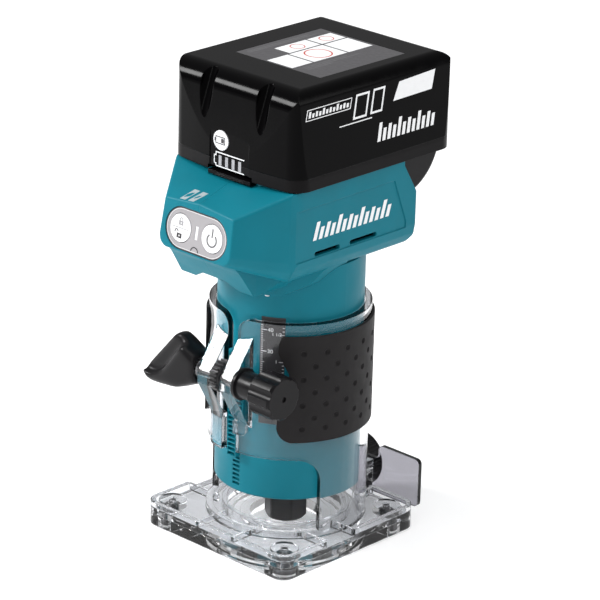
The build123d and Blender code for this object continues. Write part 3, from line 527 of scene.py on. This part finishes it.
def depth_scale_print(materials):
    """Millimetre marks on the left edge of the scale, inch marks on the right edge."""
    width = SCALE_R * math.radians(SCALE_SWEEP)
    marks = []
    for value in range(44):
        reach, thick = scale_line(value, MM_LINES)
        line = rectangle(SCALE_MARGIN, SCALE_MARGIN + reach, -thick, thick)
        marks.append((filled([line]), 0, SCALE_ZERO + value))
    for sixteenth in range(27):
        reach, thick = scale_line(sixteenth, SIXTEENTH_LINES)
        line = rectangle(-SCALE_MARGIN - reach, -SCALE_MARGIN, -thick, thick)
        marks.append((filled([line]), width, SCALE_ZERO + sixteenth * INCH / 16))
    for value in (10, 20, 30, 40):
        marks.append((lettering(str(value), DIGIT_SIZE), DIGIT_X, SCALE_ZERO + value))
    for words, eighths in (("1/2", 4), ("1", 8), ("1 1/2", 12)):
        marks.append((lettering(words, FRACTION_SIZE), width - FRACTION_X, SCALE_ZERO + eighths * INCH / 8))
    place = on_drum(SCALE_R, SCALE_START, 0)
    laid("scale_marks", marks, place, materials["ink_white"], "motor_unit")


# ---- switch panel -------------------------------------------------------------------------------------
PANEL_LEAN = math.radians(9.24)     # from vertical, top backwards
PANEL_HEIGHT = 18.4
PANEL_OUT = Vector((0, -math.cos(PANEL_LEAN), math.sin(PANEL_LEAN)))
PANEL_UP = Vector((0, math.sin(PANEL_LEAN), math.cos(PANEL_LEAN)))
PANEL_RIM_SHADE, PANEL_BEVEL_HIGHLIGHT = 1.1, 0.8   # widths of both sides together: the painted shade ring in the groove, and the painted highlight ring on the bevel
POWER_RING = (-0.75, 3.1, 2.35, 128, 412)       # height, radii and ends of the power icon's open ring
POWER_BAR = (0.37, 0.5, 4.3)        # half width, low and high end of the icon's bar
DIVIDER = (4.7, 0.14)               # half length and half thickness of the line between the padlocks
NOTCH_SHADE = (2.35, 1.9, 4, 176)         # radii and ends of the dark arc painted as the shade along a notch's edge at the panel's foot
NOTCH_SHADE_UP = 0.8


def face_of(node, normal):
    """How far a node's outer face lies along this direction, in millimetres."""
    return max(v.co.dot(normal) for v in NODES[node].data.vertices) * 1000


def panel_surface(node):
    """Carries x and y from the panel's middle on to the outer face of one of its pieces."""
    low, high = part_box("switch_panel")
    middle = (low + high) / 2 * 1000
    out = face_of(node, PANEL_OUT)
    centre = middle + PANEL_OUT * (out - middle.dot(PANEL_OUT))

    def place(x, y, lift):
        return centre + Vector((x, 0, 0)) + PANEL_UP * y + PANEL_OUT * lift
    return place


def padlock(x, y, lean, size):
    """Padlock: its shackle, which leans out of the body when it is open, and its body with a keyhole."""
    def grown(points):
        return [(x + px * size, y + py * size) for px, py in points]

    bow_out, bow_in, shoulder, bow_y = 1.15, 0.7, 0.2, 0.85
    shapes = [[grown(band(lean, bow_y, bow_out, bow_in, 0, 180))],
              [grown(rectangle(lean - bow_out, lean - bow_in, shoulder, bow_y))]]
    if not lean:
        shapes.append([grown(rectangle(bow_in, bow_out, shoulder, bow_y))])
    body, keyhole = rectangle(-1.5, 1.5, -2.0, shoulder), rectangle(-0.4, 0.4, -1.3, -0.5)
    return shapes + [[grown(body), grown(keyhole)]]


def panel_print(materials):
    """Power and lock icons on the two buttons; painted shade at the panel's notch and in the groove round
    it, and a painted highlight on its bevel.
    """
    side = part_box("power_button")
    button_x = (side[0].x + side[1].x) / 2 * 1000
    power, lock, panel = (panel_surface(n) for n in ("power_button", "lock_button", "switch_panel"))
    half, low_end, high_end = POWER_BAR
    icon = [[band(button_x, *POWER_RING)], [rectangle(button_x - half, button_x + half, low_end, high_end)]]
    decal("power_icon", icon, power, materials["ink_grey"], "power_key")
    reach, thick = DIVIDER
    divider = rectangle(-button_x - reach, -button_x + reach, -thick, thick)
    faint = padlock(-button_x, 2.9, 0, 0.85) + [[divider]]
    decal("lock_icon", faint, lock, materials["ink_pale"], "lock_key")
    dark = padlock(-button_x - 0.3, -2.6, -1.9, 0.95)
    decal("unlock_icon", dark, lock, materials["ink_dark"], "lock_key")
    low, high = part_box("switch_panel")
    width, height = (high.x - low.x) * 1000, PANEL_HEIGHT
    # dark arc painted as the shade along the notch's edge at the panel's foot
    notch_shade = band(0, NOTCH_SHADE_UP - height / 2, *NOTCH_SHADE)
    decal("panel_notch_shade", [[notch_shade]], panel, materials["ink_dark"], "motor_unit")
    insets = (0, PANEL_RIM_SHADE, PANEL_RIM_SHADE + PANEL_BEVEL_HIGHLIGHT)
    edge, bevel, face = (stadium(width - inset, height - inset) for inset in insets)
    # dark ring painted as the shade in the groove round the panel
    decal("panel_rim_shade", [[edge, bevel]], panel, materials["ink_dark"], "motor_unit")
    # lighter ring painted as the highlight on the panel's bevel
    decal("panel_bevel_highlight", [[bevel, face]], panel, materials["bevel_painted_highlight"], "motor_unit")


# ---- battery and head ---------------------------------------------------------------------------------
def gauge_print(materials):
    """White line round the charge bars, cut in two by the seam between the battery's cases."""
    left, right, low, high, line = -8.9, 8.2, 176.95, 183.6, 0.5
    nub, nub_low, nub_high, seam = left - 1.0, 178.0, 182.2, 180.5
    under, over = seam - 0.1, seam + 0.1
    for name, case, loops in (
            ("low", "lower", [rectangle(left, right, low, low + line),
                              rectangle(left, left + line, low, nub_low),
                              rectangle(nub, nub + line, nub_low, under),
                              rectangle(nub, left + line, nub_low, nub_low + line)]),
            ("high", "upper", [rectangle(left, right, high - line, high),
                               rectangle(left, left + line, nub_high, high),
                               rectangle(nub, nub + line, over, nub_high),
                               rectangle(nub, left + line, nub_high - line, nub_high)])):
        decal(f"gauge_outline_{name}", [[loop] for loop in loops], onto_front(f"battery_{case}_case"),
              materials["ink_white"], "battery")


def check_print(materials):
    """Small battery on the gauge button."""
    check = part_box("check_button")
    x, z = [(check[0][i] + check[1][i]) / 2 * 1000 for i in (0, 2)]
    cell = [rectangle(x - 3.1, x + 2.6, z - 1.7, z + 1.7), rectangle(x - 2.7, x + 2.2, z - 1.3, z + 1.3)]
    nub = rectangle(x - 3.7, x - 3.1, z - 0.8, z + 0.8)
    charge = rectangle(x + 0.3, x + 1.9, z - 1.0, z + 1.0)
    decal("check_icon", [cell, [nub], [charge]], onto_front("check_button"), materials["ink_dark"],
          "check_key")


def side_print(materials):
    """Plain frames, bars and a patch where the battery's sides are printed."""
    frames = [outlined(slanted(-32.4, -5.0, 205.8, 210.6, 1.2), 0.35),
              outlined(slanted(-3.6, 4.8, 200.6, 211.2, 2.4), 0.9),
              outlined(slanted(7.2, 14.6, 200.8, 211.4, 2.4), 0.9)]
    underline = slanted(-11.9, 8.3, 199.0, 199.45, 0)
    patch = [(25.8, 211.4), (48.9, 212.4), (46.5, 204.0), (21.8, 203.6)]
    bars = strokes(-30.6, -5.4, 206.9, 209.6, 2.1, 0.6) + strokes(11.5, 50.5, 187.6, 195.8, 3.1, 1.6)
    marks = frames + [[loop] for loop in [underline, patch] + bars]
    for name, side in (("right", 1), ("left", -1)):
        decal(f"side_marks_{name}", marks, onto_side("battery_upper_case", side), materials["ink_white"],
              "battery")


def label_print(materials):
    """Blank boxes, rings and lines on the battery's label."""
    top = onto_top("battery_label")
    narrow, wide, far_row = (-17.6, -8.4), (-7.4, 7.6), (24.4, 39.4)
    boxes = [rectangle(*narrow, 4.0, 23.4), rectangle(*narrow, *far_row), rectangle(*wide, -11.0, 1.6),
             rectangle(*wide, 2.6, 23.4), rectangle(*wide, *far_row)]
    rings = [ring(0.1, 13.0, 6.4, 5.7), ring(-13, 13.7, 3.5, 3.0), ring(-13, 31.9, 3.5, 3.0)]
    columns = ((-22.4, 30), (-20.9, 34), (10.2, 20), (11.8, 26), (13.4, 8))
    lines = [rectangle(x, x + 0.5, -8, y) for x, y in columns]
    for name, shapes, ink, lift in (
            ("boxes", [[box] for box in boxes], "ink_white", LABEL_HALF),
            ("rings", rings, "ink_red", LABEL_HALF + RING_LIFT),
            ("lines", [[line] for line in lines], "ink_grey", LABEL_HALF)):
        decal(f"label_{name}", shapes, top, materials[ink], "battery",
              lift=lift, half=LABEL_HALF)


def head_print(materials):
    """A row of slanted bars on each side of the head, and a mark of two blocks on its nose."""
    bars = [[bar] for bar in strokes(-25.0, 24.5, 151.0, 159.0, 3.5, 2.4)]
    for name, side in (("right", 1), ("left", -1)):
        decal(f"head_band_{name}", bars, onto_side(f"head_{name}", side), materials["ink_white"],
              "motor_unit")
    blocks = [[slanted(x, x + 3.2, -57.0, -50.2, 2.2)] for x in (-12.6, -7.6)]
    decal("nose_mark", blocks, onto_top("head_left"), materials["ink_silver"], "motor_unit")


make_camera()
make_floor()
make_light()
finishes = make_materials()
dress_nodes(finishes)
soften_lever()
clear_tabs(finishes)
depth_scale_print(finishes)
panel_print(finishes)
gauge_print(finishes)
check_print(finishes)
side_print(finishes)
label_print(finishes)
head_print(finishes)
